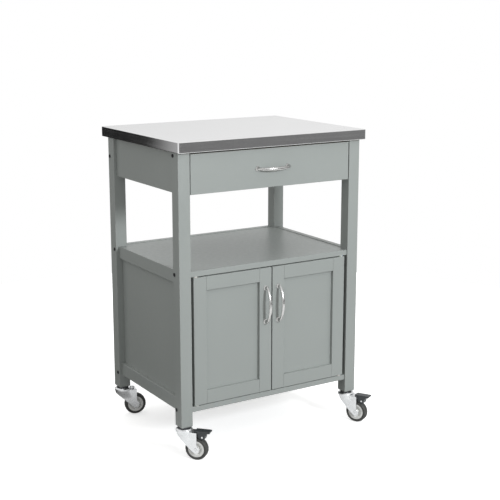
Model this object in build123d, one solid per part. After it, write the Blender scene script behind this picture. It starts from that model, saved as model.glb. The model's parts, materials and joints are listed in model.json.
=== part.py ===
from build123d import *
from math import asin, atan2, cos, sin, sqrt
import os

# A rolling kitchen island cart: a painted frame on four corner legs, a board worktop in a folded steel
# skin, a drawer on roller runners, an open shelf, a cupboard with two framed doors, and four swivel
# casters, the front two with brake pedals. Millimetres. X is the width, the front faces -Y, +Z is up,
# and the origin is on the floor under the middle of the worktop.

# Worktop
top_width = 598.0
top_depth = 467.0
top_height = 868.0
top_thickness = 28.0
steel_sheet = 1.0
steel_corner = 5.0
steel_top_fold = 0.8
steel_bottom_fold = 1.6
steel_return = 9.0

# Legs: square posts, set in from the worktop's edge
leg = 35.0
frame_width = 582.0
frame_depth = 421.5
front_overhang = 19.0
leg_foot = 90.5
leg_chamfer = 3.0
edge_round = 1.2

# Boards and rails between the legs
board = 15.0
board_setback = 4.0
shelf_top = 522.0
base_top = 145.5
rail_thickness = 18.0
rail_recess = 9.4
rail_height = 36.0
rail_rise = 1.5
base_rail_rise = 21.5
apron_bottom = 730.0
stretcher_height = 20.0
stretcher_depth = 60.0
stretcher_gap = 1.0
panel_thickness = 8.0
panel_groove = 6.0
back_thickness = 5.0
fit_gap = 0.2

# Frame bolts and their barrel nuts
bolt_r = 3.0
bolt_hole_r = 3.4
bolt_length = 60.0
bolt_head_r = 5.2
bolt_head_height = 1.8
bolt_socket_r = 2.3
nut_r = 5.0
nut_hole_r = 5.15
nut_from_leg = 22.0
board_bolt_inset = 27.0
rear_bolt_inset = 26.0

# Screws
worktop_screw_xs = (-150.0, 150.0)
worktop_screw_shank = 32.0
runner_screw_length = 14.0
screw_shank_r = 1.6

# Drawer
drawer_bottom_edge = 727.5
drawer_top_edge = 834.0
drawer_gap = 2.0
drawer_setback = 1.0
front_thickness = 18.0
drawer_side = 12.0
drawer_length = 360.0
drawer_floor = 4.0
drawer_floor_rise = 6.0
drawer_low = 746.0
drawer_high = 816.0

# Roller runners
runner_space = 12.5
runner_sheet = 1.2
channel_low = 738.0
channel_high = 766.0
channel_lip = 9.2
roller_r = 8.5
roller_width = 6.6
roller_pin_r = 2.4
roller_gap = 0.05
roller_inset = 14.0
drawer_lip_z = 771.0

# Doors
door_setback = 2.5
door_side_gap = 8.5
door_mid_gap = 3.0
door_end_gap = 2.5
door_thickness = 18.0
stile = 39.0
door_rail = 38.0
door_panel_thickness = 5.0
door_panel_recess = 9.0
tongue = 6.0
strike_x = 34.0
strike_from_top = 16.0
joint_round = 1.2
pivot_inset = 9.0
pivot_r = 3.0
pivot_depth = 11.0
bush_r = 5.0
bush_wall_gap = 0.05

# Bow handles
handle_centres = 96.0
handle_end = 55.0
handle_end_height = 5.2
handle_mid = 26.2
handle_width = 9.4
handle_depth = 6.6
handle_rings = 12
handle_taper = 1.3
handle_plumpness = 0.7
handle_foot_r = 7.4
handle_foot_edge = 1.2
handle_neck_r = 4.2
handle_neck_height = 4.0
handle_foot_height = 10.0
door_handle_from_edge = 19.5
door_handle_top = 105.0
screw_r = 2.0

# Casters, measured from the swivel axis and the floor
wheel_r = 31.8
wheel_width = 21.0
tread_inner_r = 23.3
ring_inner_r = 16.5
trail = 36.5
axle_r = 3.0
arm_outer = 15.0
fork_sheet = 2.2
arm_end_r = 11.0
arm_rear = 40.5
arm_bend = 17.0
arm_knee = (5.0, 46.5)
crown_front = -21.5
crown_bottom = 77.8
crown_top = 80.0
dome_r = 23.5
dome_top = 87.2
collar_r = 17.0
kingpin_r = 5.0
stem_r = 4.0
stem_length = 26.0
insert_r = 7.0
brake_pin = (55.0, 68.0)
brake_pin_r = 2.5
lug_width = 6.0
pedal_half = 11.0
nub_r = 6.8
nub_s = 28.0
caster_turn = {"front_left": -49.0, "front_right": -61.0, "rear_left": -15.0, "rear_right": -70.0}

# Worked out from the above
top_under = top_height - top_thickness
out_x = frame_width / 2
in_x = out_x - leg
front_y = -top_depth / 2 + front_overhang
back_y = front_y + frame_depth
front_leg_back = front_y + leg
rear_leg_front = back_y - leg
rail_out = out_x - rail_recess
rail_in = rail_out - rail_thickness
panel_out = rail_in + panel_thickness
rear_rail_front = back_y - rail_thickness
shelf_under = shelf_top - board
base_under = base_top - board
side_rail_top = shelf_top + rail_rise
side_rail_bottom = side_rail_top - rail_height
base_rail_top = base_top + base_rail_rise
stretcher_low = top_under - stretcher_height
drawer_face = front_y + drawer_setback
drawer_inside = drawer_face + front_thickness
drawer_out = in_x - runner_space
drawer_back = drawer_inside + drawer_length
door_face = front_y + door_setback
door_back = door_face + door_thickness
door_low = base_top + door_end_gap
door_high = shelf_under - door_end_gap
door_outer = in_x - door_side_gap
door_inner = door_mid_gap / 2
pivot_x = door_outer - pivot_inset
pivot_y = door_face + pivot_inset
arm_inner = arm_outer - fork_sheet
leg_centre_x = out_x - leg / 2
leg_centre_y = {"front": front_y + leg / 2, "rear": back_y - leg / 2}
bolt_y = {"front": front_y + board_bolt_inset, "rear": back_y - rear_bolt_inset}
board_bolt_zs = [shelf_top - board / 2, base_top - board / 2]
bolt_heights = {"front": [stretcher_low + stretcher_height / 2] + board_bolt_zs,
                "rear": [(apron_bottom + top_under) / 2] + board_bolt_zs}
stretcher_front = drawer_inside + stretcher_gap
worktop_screw_ys = (stretcher_front + stretcher_depth / 2, rear_rail_front - stretcher_depth / 2)
drawer_handle_z = (drawer_bottom_edge + drawer_top_edge) / 2
drawer_floor_z = drawer_low + drawer_floor_rise
runner_back = rear_rail_front - 1.0
runner_front = drawer_inside + 2.5
runner_screw_ys = (front_leg_back - 5.0, rear_leg_front + 8.0)
runner_screw_z = channel_low + 8.0
channel_roller_y = runner_front + roller_inset
channel_roller_z = drawer_lip_z - roller_gap - roller_r
drawer_roller_y = drawer_back - roller_inset
drawer_roller_z = channel_low + runner_sheet + roller_gap + roller_r
roller_x = drawer_out + runner_sheet + 1.5
door_panel_back = door_face + door_panel_recess + door_panel_thickness
door_handle_x = door_inner + door_handle_from_edge
door_handle_mid = door_high - door_handle_top
door_handle_zs = (door_handle_mid - handle_centres / 2, door_handle_mid + handle_centres / 2)
strike_z = door_high - strike_from_top


def block(x0, x1, y0, y1, z0, z1):
    """A box from its lowest to its highest corner."""
    return Pos((x0 + x1) / 2, (y0 + y1) / 2, (z0 + z1) / 2) * Box(abs(x1 - x0), abs(y1 - y0), abs(z1 - z0))


def rod(start, direction, radius, length):
    """A round bar from a start point along a direction."""
    return extrude(Plane(origin=start, z_dir=direction) * Circle(radius), amount=length)


def mirrored(part):
    """The same part on the cart's other side."""
    return mirror(part, about=Plane.YZ)


def pair(part):
    return [part, mirrored(part)]


# ---- worktop ----

def worktop_steel():
    """Sheet steel folded down over the board's four edges, with a short return lip underneath."""
    outer = block(-top_width / 2, top_width / 2, -top_depth / 2, top_depth / 2, top_under, top_height)
    outer = fillet(outer.edges().filter_by(Axis.Z), steel_corner)
    outer = fillet(outer.faces().sort_by(Axis.Z)[-1].edges(), steel_top_fold)
    outer = fillet(outer.faces().sort_by(Axis.Z)[0].edges(), steel_bottom_fold)
    inner = block(-top_width / 2 + steel_sheet, top_width / 2 - steel_sheet, -top_depth / 2 + steel_sheet,
                  top_depth / 2 - steel_sheet, top_under + steel_sheet, top_height - steel_sheet)
    inner = fillet(inner.edges().filter_by(Axis.Z), steel_corner - steel_sheet)
    window = block(-top_width / 2 + steel_return, top_width / 2 - steel_return, -top_depth / 2 + steel_return,
                   top_depth / 2 - steel_return, top_under - 1, top_under + 2)
    return outer - inner - window


def worktop_board():
    """The chipboard core that fills the steel skin."""
    wall = steel_sheet
    core = block(-top_width / 2 + wall, top_width / 2 - wall, -top_depth / 2 + wall, top_depth / 2 - wall,
                 top_under + wall, top_height - wall)
    core = fillet(core.edges().filter_by(Axis.Z), steel_corner - steel_sheet)
    plinth = block(-top_width / 2 + steel_return, top_width / 2 - steel_return, -top_depth / 2 + steel_return,
                   top_depth / 2 - steel_return, top_under, top_under + wall)
    for x in worktop_screw_xs:
        for y in worktop_screw_ys:
            plinth -= rod((x, y, top_under - 1), (0, 0, 1), screw_shank_r, 4)
            core -= rod((x, y, top_under - 1), (0, 0, 1), screw_shank_r, 17)
    return core + plinth


# ---- legs ----

def bolt_place(end, row):
    """Depth of one bolt line: the topmost rear bolt runs down the middle of the rear apron."""
    if end == "rear" and row == 0:
        return back_y - rail_thickness / 2
    return bolt_y[end]


def leg_post(end):
    """The right-hand post of one end of the cart, with its grooves, bolt holes and caster socket."""
    low, high = (front_y, front_leg_back) if end == "front" else (rear_leg_front, back_y)
    post = block(in_x, out_x, low, high, leg_foot, top_under)
    post = chamfer(post.faces().sort_by(Axis.Z)[0].edges(), leg_chamfer)
    post = fillet(post.edges().filter_by(Axis.Z), edge_round)
    groove_y = (high - panel_groove, high + 1) if end == "front" else (low - 1, low + panel_groove)
    post -= block(rail_in, panel_out + fit_gap, *groove_y, base_rail_top - panel_groove,
                  side_rail_bottom + panel_groove)
    for row, z in enumerate(bolt_heights[end]):
        post -= rod((in_x - 1, bolt_place(end, row), z), (1, 0, 0), bolt_hole_r, leg + 2)
    post -= rod((leg_centre_x, leg_centre_y[end], leg_foot - 1), (0, 0, 1), insert_r, stem_length + 1)
    screw_y = runner_screw_ys[0] if end == "front" else runner_screw_ys[1]
    post -= rod((in_x - 1, screw_y, runner_screw_z), (1, 0, 0), screw_shank_r, runner_screw_length)
    return post


# ---- aprons, rails and stretchers ----

def side_apron():
    return block(rail_in, rail_out, front_leg_back, rear_leg_front, apron_bottom, top_under)


def rear_apron():
    """The board behind the drawer, flush with the back of the rear legs, bored for its two bolts."""
    apron = block(-in_x, in_x, rear_rail_front, back_y, apron_bottom, top_under)
    y, z = bolt_place("rear", 0), bolt_heights["rear"][0]
    for side in (-1, 1):
        apron -= rod((side * (in_x + 1), y, z), (-side, 0, 0), bolt_hole_r, bolt_length)
        apron -= rod((side * (in_x - nut_from_leg), rear_rail_front - 1, z), (0, 1, 0), nut_hole_r,
                     rail_thickness - 2)
    return apron


def front_stretcher():
    """A flat rail under the worktop behind the drawer front."""
    low = stretcher_front
    rail = block(-in_x, in_x, low, low + stretcher_depth, stretcher_low, top_under)
    y, z = bolt_place("front", 0), bolt_heights["front"][0]
    for side in (-1, 1):
        rail -= rod((side * (in_x + 1), y, z), (-side, 0, 0), bolt_hole_r, bolt_length)
        rail -= rod((side * (in_x - nut_from_leg), y, stretcher_low - 1), (0, 0, 1), nut_hole_r,
                    stretcher_height - 2)
    return rail - worktop_screw_holes(worktop_screw_ys[0])


def rear_stretcher():
    """The matching flat rail in front of the rear apron."""
    rail = block(-in_x, in_x, rear_rail_front - stretcher_depth, rear_rail_front, stretcher_low, top_under)
    return rail - worktop_screw_holes(worktop_screw_ys[1])


def worktop_screw_holes(y):
    holes = Part()
    for x in worktop_screw_xs:
        holes += rod((x, y, stretcher_low - 1), (0, 0, 1), 2.2, stretcher_height + 2)
        holes += rod((x, y, stretcher_low - 1), (0, 0, 1), 4.6, 4)
    return holes


def shelf_board(top):
    """A full board, cut round the four legs and bored for its bolts and barrel nuts."""
    under = top - board
    sheet = block(-rail_in, rail_in, front_leg_back, rear_leg_front, under, top)
    sheet += block(-in_x, in_x, front_y + board_setback, rear_rail_front, under, top)
    front_edge = sheet.edges().filter_by(Axis.X).group_by(Axis.Y)[0]
    sheet = fillet(front_edge, 1.0)
    z = top - board / 2
    for side in (-1, 1):
        for y in bolt_y.values():
            sheet -= rod((side * (in_x + 1), y, z), (-side, 0, 0), bolt_hole_r, bolt_length - leg)
            sheet -= rod((side * (in_x - nut_from_leg), y, under - 1), (0, 0, 1), nut_hole_r, board - 1)
        bush_top = top + 1 if top == base_top else under + pivot_depth
        bush_low = base_top - pivot_depth if top == base_top else under - 1
        sheet -= rod((side * pivot_x, pivot_y, bush_low), (0, 0, 1), bush_r, bush_top - bush_low)
    return sheet


def side_rails():
    """The two rails down the right-hand side, rebated for the side panel."""
    upper = block(rail_in, rail_out, front_leg_back, rear_leg_front, side_rail_bottom, side_rail_top)
    upper = fillet(upper.edges().filter_by(Axis.Y), edge_round)
    upper -= block(rail_in - 1, panel_out + fit_gap, front_leg_back - 1, rear_leg_front + 1,
                   side_rail_bottom - 1, side_rail_bottom + panel_groove)
    lower = block(rail_in, rail_out, front_leg_back, rear_leg_front, base_under, base_rail_top)
    lower = fillet(lower.edges().filter_by(Axis.Y), edge_round)
    lower -= block(rail_in - 1, panel_out + fit_gap, front_leg_back - 1, rear_leg_front + 1,
                   base_rail_top - panel_groove, base_rail_top + 1)
    return [upper, lower]


def rear_rails():
    """Two rails across the back, behind the shelf and the cupboard floor."""
    upper = block(-in_x, in_x, rear_rail_front, back_y, side_rail_bottom, side_rail_top)
    lower = block(-in_x, in_x, rear_rail_front, back_y, base_under, base_rail_top)
    return [fillet(rail.edges().filter_by(Axis.X), edge_round) for rail in (upper, lower)]


def side_panel():
    return block(rail_in, panel_out, front_leg_back - panel_groove + fit_gap,
                 rear_leg_front + panel_groove - fit_gap, base_rail_top - panel_groove + fit_gap,
                 side_rail_bottom + panel_groove - fit_gap)


def back_panel():
    return block(-in_x + fit_gap, in_x - fit_gap, rear_rail_front - back_thickness, rear_rail_front - 0.01,
                 base_top, shelf_under)


# ---- frame fasteners ----

def frame_bolt(end, row):
    """A button-head bolt from the outside of a right-hand leg, with its hexagon socket."""
    y, z = bolt_place(end, row), bolt_heights[end][row]
    shank = rod((out_x, y, z), (-1, 0, 0), bolt_r, bolt_length)
    head = rod((out_x, y, z), (1, 0, 0), bolt_head_r, bolt_head_height)
    head = fillet(head.faces().sort_by(Axis.X)[-1].edges(), 1.2)
    socket = extrude(Plane(origin=(out_x + 0.3, y, z), z_dir=(1, 0, 0)) * RegularPolygon(bolt_socket_r, 6),
                     amount=bolt_head_height)
    return shank + head - socket


def barrel_nut(end, row):
    """A cross dowel: upright in the boards and stretcher, level in the rear apron."""
    y, z = bolt_place(end, row), bolt_heights[end][row]
    x = in_x - nut_from_leg
    if end == "rear" and row == 0:
        dowel = rod((x, rear_rail_front + 2, z), (0, 1, 0), nut_r, rail_thickness - 5)
    else:
        dowel = rod((x, y, z - 5.5), (0, 0, 1), nut_r, 11)
    return dowel - rod((x - 20, y, z), (1, 0, 0), bolt_r, 40)


def cabinet_screws():
    """Countersunk screws up into the worktop, and through the runner channels into the legs."""
    screws = []
    for x in worktop_screw_xs:
        for y in worktop_screw_ys:
            shank = rod((x, y, stretcher_low + 2), (0, 0, 1), screw_shank_r, worktop_screw_shank)
            head = extrude(Plane((x, y, stretcher_low + 0.3)) * Circle(4), amount=2.4, taper=40)
            screws.append(shank + head)
    for y in runner_screw_ys:
        shank = rod((in_x - runner_sheet - 0.01, y, runner_screw_z), (1, 0, 0), screw_shank_r,
                    runner_screw_length)
        head = rod((in_x - runner_sheet - 1.6, y, runner_screw_z), (1, 0, 0), 3.4, 1.59)
        screws += pair(shank + head)
    return screws


# ---- drawer ----

def drawer_front():
    panel = block(-in_x + drawer_gap, in_x - drawer_gap, drawer_face, drawer_inside,
                  drawer_bottom_edge, drawer_top_edge)
    panel = fillet(panel.faces().sort_by(Axis.Y)[0].edges(), 1.5)
    for side in (-1, 1):
        panel -= rod((side * handle_centres / 2, drawer_face - 1, drawer_handle_z), (0, 1, 0), screw_r + 0.3,
                     front_thickness + 2)
    return panel


def drawer_side_board():
    """The right-hand side, grooved for the floor."""
    side = block(drawer_out - drawer_side, drawer_out, drawer_inside, drawer_back, drawer_low, drawer_high)
    side = fillet(side.edges().filter_by(Axis.Y).group_by(Axis.Z)[-1], 1.5)
    return side - block(drawer_out - drawer_side - 1, drawer_out - tongue, drawer_inside - 1, drawer_back + 1,
                        drawer_floor_z, drawer_floor_z + drawer_floor)


def drawer_back_board():
    span = drawer_out - drawer_side
    return block(-span, span, drawer_back - drawer_side, drawer_back, drawer_floor_z + drawer_floor,
                 drawer_high - 4)


def drawer_floor_board():
    span = drawer_out - tongue - fit_gap
    return block(-span, span, drawer_inside, drawer_back, drawer_floor_z + 0.05,
                 drawer_floor_z + drawer_floor - 0.05)


def bow_handle():
    """A cast bow pull: an arched bar, fullest in the middle, on two short round feet. X runs along it."""
    half = handle_centres / 2
    sag = handle_mid - handle_end_height
    sweep_r = (handle_end ** 2 + sag ** 2) / (2 * sag)
    rings = []
    for step in range(handle_rings + 1):
        share = 2 * step / handle_rings - 1
        angle = asin(handle_end / sweep_r) * share
        fullness = cos(handle_taper * share) ** handle_plumpness
        place = Plane(origin=(sweep_r * sin(angle), handle_mid - sweep_r * (1 - cos(angle)), 0),
                      x_dir=(0, 0, 1), z_dir=(cos(angle), -sin(angle), 0))
        rings.append(place * Ellipse(handle_width / 2 * fullness, handle_depth / 2 * fullness))
    handle = loft(rings)
    half_foot = make_face(Polyline((0, 0), (handle_foot_r, 0), (handle_foot_r, handle_foot_edge),
                                   (handle_neck_r, handle_neck_height), (handle_neck_r, handle_foot_height),
                                   (0, handle_foot_height), (0, 0)))
    foot = revolve(half_foot, axis=Axis.Y)
    for side in (-1, 1):
        handle += Pos(side * half, 0, 0) * foot
        handle -= rod((side * half, -1, 0), (0, 1, 0), screw_r, 7)
    return handle


def handle_screw(at, depth, head_z):
    """A pan-head screw through the board into a handle's foot, along +Y from its tip."""
    x, y, z = at
    shank = rod((x, y, z), (0, 1, 0), screw_r, depth)
    return shank + rod((x, y + depth, z), (0, 1, 0), head_z, 2.2)


def drawer_runner():
    """The right-hand drawer profile: it wraps under the side and carries a lip that rides on the rollers."""
    web = block(drawer_out, drawer_out + runner_sheet, drawer_inside + 3, drawer_back,
                drawer_low - runner_sheet, drawer_lip_z + runner_sheet)
    foot = block(drawer_out - 10, drawer_out + runner_sheet, drawer_inside + 3, drawer_back,
                 drawer_low - runner_sheet, drawer_low)
    lip = block(drawer_out, drawer_out + runner_sheet + channel_lip, drawer_inside + 3, drawer_back,
                drawer_lip_z, drawer_lip_z + runner_sheet)
    pin = rod((drawer_out, drawer_roller_y, drawer_roller_z), (1, 0, 0), roller_pin_r, runner_space - 3)
    return web + foot + lip + pin


def cabinet_runner():
    """The right-hand cabinet channel, screwed to the inner faces of the front and rear legs."""
    low_x = in_x - runner_sheet - channel_lip
    web = block(in_x - runner_sheet, in_x, runner_front, runner_back, channel_low, channel_high)
    floor = block(low_x, in_x, runner_front, runner_back, channel_low, channel_low + runner_sheet)
    roof = block(low_x, in_x, channel_roller_y + roller_r + 5, runner_back, channel_high - runner_sheet,
                 channel_high)
    pin = rod((in_x, channel_roller_y, channel_roller_z), (-1, 0, 0), roller_pin_r, runner_space - 2.5)
    channel = web + floor + roof + pin
    for y in runner_screw_ys:
        channel -= rod((in_x - 5, y, runner_screw_z), (1, 0, 0), 1.7, 10)
    return channel


def runner_roller(y, z):
    """A nylon roller on a runner's pin."""
    wheel = rod((roller_x, y, z), (1, 0, 0), roller_r, roller_width)
    wheel = chamfer(wheel.edges(), 0.6)
    return wheel - rod((roller_x - 1, y, z), (1, 0, 0), roller_pin_r + 0.06, roller_width + 2)


# ---- doors: modelled on the right-hand side ----

def door_stiles():
    """The hinge stile, bored for the pivots, and the lock stile, bored for the handle."""
    hinge = block(door_outer - stile, door_outer, door_face, door_back, door_low, door_high)
    lock = block(door_inner, door_inner + stile, door_face, door_back, door_low, door_high)
    stiles = []
    for post, inner_face, way in ((hinge, door_outer - stile, 1), (lock, door_inner + stile, -1)):
        post = fillet(post.faces().sort_by(Axis.Y)[0].edges().filter_by(Axis.Z), joint_round)
        post -= block(inner_face - way, inner_face + way * (tongue + fit_gap), door_face + door_panel_recess,
                      door_panel_back, door_low - 1, door_high + 1)
        stiles.append(post)
    for z, way in ((door_low, 1), (door_high, -1)):
        stiles[0] -= rod((pivot_x, pivot_y, z - way), (0, 0, way), pivot_r, 13)
    for z in door_handle_zs:
        stiles[1] -= rod((door_handle_x, door_face - 1, z), (0, 1, 0), screw_r + 0.3, door_thickness + 2)
    return stiles


def door_rails():
    """Top and bottom rails, with tongues in the stiles' grooves and a groove for the panel."""
    rails = []
    for low, high, groove_z in ((door_low, door_low + door_rail, door_low + door_rail - tongue),
                                (door_high - door_rail, door_high, door_high - door_rail - 1)):
        rail = block(door_inner + stile, door_outer - stile, door_face, door_back, low, high)
        rail = fillet(rail.faces().sort_by(Axis.Y)[0].edges().filter_by(Axis.Z), joint_round)
        rail += block(door_inner + stile - tongue, door_outer - stile + tongue, door_face + door_panel_recess,
                      door_panel_back, low, high)
        rail -= block(door_inner, door_outer, door_face + door_panel_recess, door_panel_back, groove_z,
                      groove_z + tongue + 1)
        rails.append(rail)
    return rails


def door_panel():
    reach = tongue - fit_gap
    return block(door_inner + stile - reach, door_outer - stile + reach, door_face + door_panel_recess + 0.02,
                 door_panel_back - 0.02, door_low + door_rail - reach, door_high - door_rail + reach)


def door_pivots():
    """Steel pins pressed into the hinge stile, one up into the shelf and one down into the floor board."""
    reach = door_end_gap + pivot_depth - 3
    return [rod((pivot_x, pivot_y, door_low + 12), (0, 0, -1), pivot_r, 12 + reach),
            rod((pivot_x, pivot_y, door_high - 12), (0, 0, 1), pivot_r, 12 + reach)]


def pivot_bushes():
    """Nylon bushes in the shelf and the cupboard floor, with a thin flange that carries the door."""
    bushes = []
    for face, way in ((base_top, 1), (shelf_under, -1)):
        body = rod((pivot_x, pivot_y, face + way), (0, 0, -way), bush_r, pivot_depth + 1)
        flange = rod((pivot_x, pivot_y, face), (0, 0, way), bush_r + 2, door_end_gap - 0.4)
        bushes.append(body + flange - rod((pivot_x, pivot_y, face + way * 5), (0, 0, -way),
                                          pivot_r + bush_wall_gap, pivot_depth + 3.5))
    return bushes


def door_strike():
    """The steel plate that meets the magnetic catch."""
    plate = block(strike_x - 18, strike_x + 18, door_back, door_back + 1.0, strike_z - 7, strike_z + 7)
    return fillet(plate.edges().filter_by(Axis.Y), 3.0)


def magnet_catch():
    """A catch screwed up under the shelf just behind the closed door."""
    body = block(strike_x - 22, strike_x + 22, door_back + 1.2, door_back + 17, strike_z - 8, shelf_under)
    return fillet(body.edges().filter_by(Axis.Z), 2.0)


# ---- casters: modelled at the origin, trailing along +X, then turned and moved under their legs ----

def tangent_point(start, centre, radius):
    """Where the lower line from a point touches a circle."""
    dx, dy = centre[0] - start[0], centre[1] - start[1]
    span = sqrt(dx * dx + dy * dy)
    angle = atan2(dy, dx) - asin(radius / span)
    reach = sqrt(span * span - radius * radius)
    return (start[0] + reach * cos(angle), start[1] + reach * sin(angle))


def caster_fork(braked):
    """A stamped fork: flat arms at the axle, bent in towards the front, under a pressed dome."""
    axle = (trail, wheel_r)
    touch = tangent_point(arm_knee, axle, arm_end_r)
    side = make_face(Polyline((crown_front - 1, crown_top), arm_knee, touch, axle,
                              (arm_rear, wheel_r + 6), (arm_rear - 0.5, crown_top),
                              (crown_front - 1, crown_top)))
    side += Pos(*axle) * Circle(arm_end_r)
    waist = [v for v in side.vertices() if abs(v.X - arm_rear) < 0.5 and wheel_r + 4 < v.Y < crown_top - 5]
    side = fillet(waist, 5.0)
    side_cut = extrude(Plane.XZ * side, amount=40, both=True)

    def plan(inset):
        bow = Pos(arm_bend, 0) * Ellipse(arm_bend - crown_front - inset, arm_outer - inset)
        straight = Pos(arm_bend + 20, 0) * Rectangle(40, 2 * (arm_outer - inset))
        left_half = Pos(arm_bend - 25, 0) * Rectangle(50, 60)
        return (bow & left_half) + straight

    walls = extrude(plan(0), amount=crown_top) - extrude(plan(fork_sheet), amount=crown_top)
    walls -= block(arm_bend + 18, 80, -arm_inner, arm_inner, -1, crown_top + 1)
    fork = walls & side_cut
    roof = extrude(Pos(0, 0, crown_bottom) * plan(0.5), amount=crown_top - crown_bottom)
    fork += roof & block(-50, arm_rear - 0.5, -30, 30, 0, 100)
    half_dome = make_face(Polyline((0, crown_top - 2), (dome_r - 1, crown_top - 2), (dome_r, crown_top - 1),
                                   (dome_r, dome_top - 3.5), (dome_r - 3.5, dome_top), (0, dome_top),
                                   (0, crown_top - 2)))
    dome = revolve(Plane.XZ * half_dome, axis=Axis.Z)
    fork += dome
    fork -= rod((0, 0, crown_bottom - 10), (0, 0, 1), kingpin_r + 0.15, 30)
    for way in (-1, 1):
        fork -= rod((trail, way * 5, wheel_r), (0, way, 0), axle_r, 20)
    if braked:
        lug = make_face(Polyline((34, crown_top), (39, crown_top), (60, 71), (59.5, 65), (52, 63.5),
                                 (34, crown_bottom - 4), (34, crown_top)))
        lug = extrude(Plane.XZ * lug, amount=lug_width / 2, both=True)
        fork += lug
        fork -= rod((brake_pin[0], -10, brake_pin[1]), (0, 1, 0), brake_pin_r, 20)
    else:
        nub = rod((nub_s, 0, crown_top - 1), (0, 0, 1), nub_r, 8)
        fork += fillet(nub.faces().sort_by(Axis.Z)[-1].edges(), 2.0)
    return fork


def caster_axle(braked):
    """The wheel's rivet, dimpled at both ends, and on a braked caster the pedal's pin."""
    pieces = [rod((trail, -arm_outer, wheel_r), (0, 1, 0), axle_r, 2 * arm_outer)]
    for way in (-1, 1):
        head = rod((trail, way * arm_outer, wheel_r), (0, way, 0), 5.0, 1.5)
        pieces[0] += head
        pieces[0] -= rod((trail, way * (arm_outer + 0.4), wheel_r), (0, way, 0), 2.0, 3)
    if braked:
        half = pedal_half + 0.6
        pieces.append(rod((brake_pin[0], -half, brake_pin[1]), (0, 1, 0), brake_pin_r, 2 * half))
    return pieces


def wheel_section(points):
    """Spin an outline given as (radius, across) about the axle."""
    outline = [(trail + radius, across) for radius, across in points]
    face = make_face(Polyline(*outline, outline[0]))
    flat = Plane(origin=(0, 0, wheel_r), x_dir=(1, 0, 0), z_dir=(0, 0, 1)) * face
    return revolve(flat, axis=Axis((trail, 0, wheel_r), (0, 1, 0)))


def caster_tyre():
    half = wheel_width / 2
    tyre = wheel_section([(tread_inner_r, -half), (wheel_r, -half), (wheel_r, half), (tread_inner_r, half)])
    rims = [e for e in tyre.edges() if e.geom_type == GeomType.CIRCLE and e.radius > wheel_r - 1]
    return fillet(rims, 4.5)


def caster_hub():
    """Moulded wheel centre: a raised ring, a recessed web and a boss that spins on the rivet."""
    half = wheel_width / 2 - 0.8
    web = half - 4.0
    boss = arm_inner - 0.3
    right = [(axle_r + 0.1, boss), (7.5, boss), (8.5, web), (ring_inner_r - 1, web), (ring_inner_r, half),
             (tread_inner_r, half)]
    left = [(radius, -across) for radius, across in reversed(right)]
    return wheel_section(right + left)


def brake_pedal():
    """A moulded lever over the tyre, slotted for the fork's lug, with ribs under the tip."""
    outline = make_face(Polyline((42, 84), (45, 85.2), (76.5, 85.5), (77.5, 84), (75.5, 79.5), (67, 79.5),
                                 (66, 74.5), (63.5, 74), (62.6, 68), (61, 62), (57, 58.9), (50, 62.4),
                                 (44, 65.5), (42, 70), (42, 84)))
    pedal = extrude(Plane.XZ * outline, amount=pedal_half, both=True)
    pedal = fillet(pedal.edges().filter_by(Axis.Y).group_by(Axis.X)[-1], 0.7)
    pedal -= block(40, 60.8, -lug_width / 2 - 0.5, lug_width / 2 + 0.5, 50, 79.5)
    pedal -= rod((brake_pin[0], -20, brake_pin[1]), (0, 1, 0), brake_pin_r + 0.06, 40)
    return pedal


def caster_stem():
    """The fixed upper half: threaded stem, collar against the leg, and the kingpin the fork turns on."""
    stem = rod((0, 0, leg_foot), (0, 0, 1), stem_r, stem_length - 3)
    collar = rod((0, 0, dome_top + 0.3), (0, 0, 1), collar_r, leg_foot - dome_top - 0.3)
    kingpin = rod((0, 0, 74), (0, 0, 1), kingpin_r, 14)
    head = rod((0, 0, 74), (0, 0, 1), kingpin_r + 3, crown_bottom - 74 - 0.2)
    return stem + collar + kingpin + head


def stem_insert():
    """The threaded sleeve pressed into the foot of a leg."""
    sleeve = rod((0, 0, leg_foot), (0, 0, 1), insert_r, stem_length)
    return sleeve - rod((0, 0, leg_foot - 1), (0, 0, 1), stem_r, stem_length - 1)


def under_leg(end, hand):
    return (leg_centre_x * (1 if hand == "right" else -1), leg_centre_y[end])


def place_caster(part, name):
    end, hand = name.split("_")
    x, y = under_leg(end, hand)
    return Pos(x, y, 0) * Rot(0, 0, caster_turn[name]) * part


# ---- the assembly, node by node ----

nodes = {
    "worktop_steel": [worktop_steel()],
    "worktop_board": [worktop_board()],
    "front_legs": pair(leg_post("front")),
    "rear_legs": pair(leg_post("rear")),
    "side_aprons": pair(side_apron()),
    "rear_apron": [rear_apron()],
    "top_stretchers": [front_stretcher(), rear_stretcher()],
    "shelf_board": [shelf_board(shelf_top)],
    "cupboard_floor": [shelf_board(base_top)],
    "side_rails": [rail for right in side_rails() for rail in pair(right)],
    "rear_rails": rear_rails(),
    "side_panels": pair(side_panel()),
    "back_panel": [back_panel()],
    "frame_bolts": [b for end in bolt_y for row in range(3) for b in pair(frame_bolt(end, row))],
    "barrel_nuts": [n for end in bolt_y for row in range(3) for n in pair(barrel_nut(end, row))],
    "cabinet_screws": cabinet_screws(),
    "cabinet_runners": pair(cabinet_runner()),
    "pivot_bushes": [bush for right in pivot_bushes() for bush in pair(right)],
    "magnet_catches": pair(magnet_catch()),
    "drawer_front": [drawer_front()],
    "drawer_sides": pair(drawer_side_board()),
    "drawer_back": [drawer_back_board()],
    "drawer_floor": [drawer_floor_board()],
    "drawer_runners": pair(drawer_runner()),
    "channel_rollers": pair(runner_roller(channel_roller_y, channel_roller_z)),
    "drawer_rollers": pair(runner_roller(drawer_roller_y, drawer_roller_z)),
}

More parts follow.
